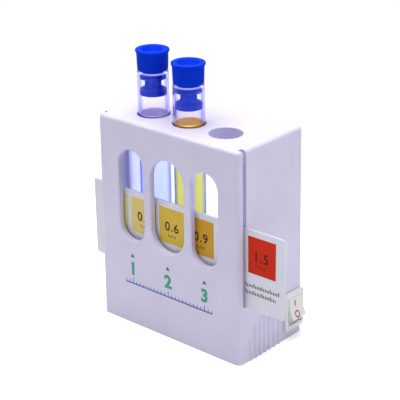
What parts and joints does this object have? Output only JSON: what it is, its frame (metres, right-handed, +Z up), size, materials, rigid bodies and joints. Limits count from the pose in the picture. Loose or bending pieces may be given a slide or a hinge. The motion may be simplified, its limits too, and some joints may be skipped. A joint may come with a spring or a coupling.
{
  "type": "electronic color comparator",
  "caption": "Back-lit benchtop color comparator: moulded housing with tube wells, viewing windows, a sliding color card, stoppered sample tubes and a rocker switch.",
  "frame": {"origin": "centre of the housing's underside, on the surface that it stands on", "axes": "+X along the front to the viewer's right, +Y from the front to the back, +Z up along the tubes"},
  "size_m": [0.126, 0.0516, 0.1466],
  "materials": {
    "shell_plastic": "fine satin moulded plastic, white with a cool tint",
    "inner_plastic": "matt white moulded plastic",
    "tray_plastic": "matt moulded plastic",
    "screw_steel": "zinc plated",
    "tube_glass": "clear polished glass",
    "clear_sample": "clear water",
    "amber_sample": "clear amber yellow liquid",
    "stopper_plastic": "soft polyethylene, blue",
    "card_plastic": "smooth printed sheet",
    "panel_acrylic": "milky acrylic",
    "board_laminate": "green solder mask",
    "lamp_body": "white package with a yellow phosphor",
    "resistor_body": "black chip",
    "cell_wrap": "plain printed sleeve",
    "contact_metal": "nickel plated steel",
    "terminal_brass": "tinned brass",
    "switch_plastic": "smooth moulded plastic, off-white",
    "lead_red": "soft red insulation",
    "lead_black": "soft black insulation"
  },
  "bodies": {
    "root": {"housing": "shell_plastic", "base_plate": "shell_plastic", "base_screws": "screw_steel", "tube_rack": "inner_plastic", "diffuser_panel": "panel_acrylic", "reflector_tray": "inner_plastic", "led_board": "board_laminate", "leds": "lamp_body", "resistors": "resistor_body", "board_screws": "screw_steel", "battery_tray": "tray_plastic", "battery_cells": "cell_wrap", "battery_springs": "contact_metal", "battery_contacts": "contact_metal", "switch_body": "switch_plastic", "switch_terminals": "terminal_brass", "lead_cells_to_switch": "lead_red", "lead_switch_to_board": "lead_red", "lead_board_to_cells": "lead_black"},
    "tube_left": {"glass_tube_left": "tube_glass", "sample_left": "clear_sample"},
    "stopper_left": {"stopper_left": "stopper_plastic"},
    "tube_middle": {"glass_tube_middle": "tube_glass", "sample_middle": "amber_sample"},
    "stopper_middle": {"stopper_middle": "stopper_plastic"},
    "card": {"color_card": "card_plastic"},
    "rocker": {"rocker": "switch_plastic"},
    "battery_door": {"battery_door": "shell_plastic"}
  },
  "joints": [
    {"name": "tube_left_lift", "type": "slide", "parent": "root", "child": "tube_left", "axis": [0, 0, 1], "range_m": [0, 0.085]},
    {"name": "stopper_left_pull", "type": "slide", "parent": "tube_left", "child": "stopper_left", "axis": [0, 0, 1], "range_m": [0, 0.02]},
    {"name": "tube_middle_lift", "type": "slide", "parent": "root", "child": "tube_middle", "axis": [0, 0, 1], "range_m": [0, 0.085]},
    {"name": "stopper_middle_pull", "type": "slide", "parent": "tube_middle", "child": "stopper_middle", "axis": [0, 0, 1], "range_m": [0, 0.02]},
    {"name": "card_slide", "type": "slide", "parent": "root", "child": "card", "axis": [1, 0, 0], "range_m": [-0.12, 0.105]},
    {"name": "rocker_press", "type": "hinge", "parent": "root", "child": "rocker", "pos_m": [0.043, 0.0169, 0.01535], "axis": [0, 1, 0], "range_deg": [0, 30]},
    {"name": "battery_door_swing", "type": "hinge", "parent": "root", "child": "battery_door", "pos_m": [0, 0.0239, 0.0068], "axis": [-1, 0, 0], "range_deg": [0, 90]}
  ]
}
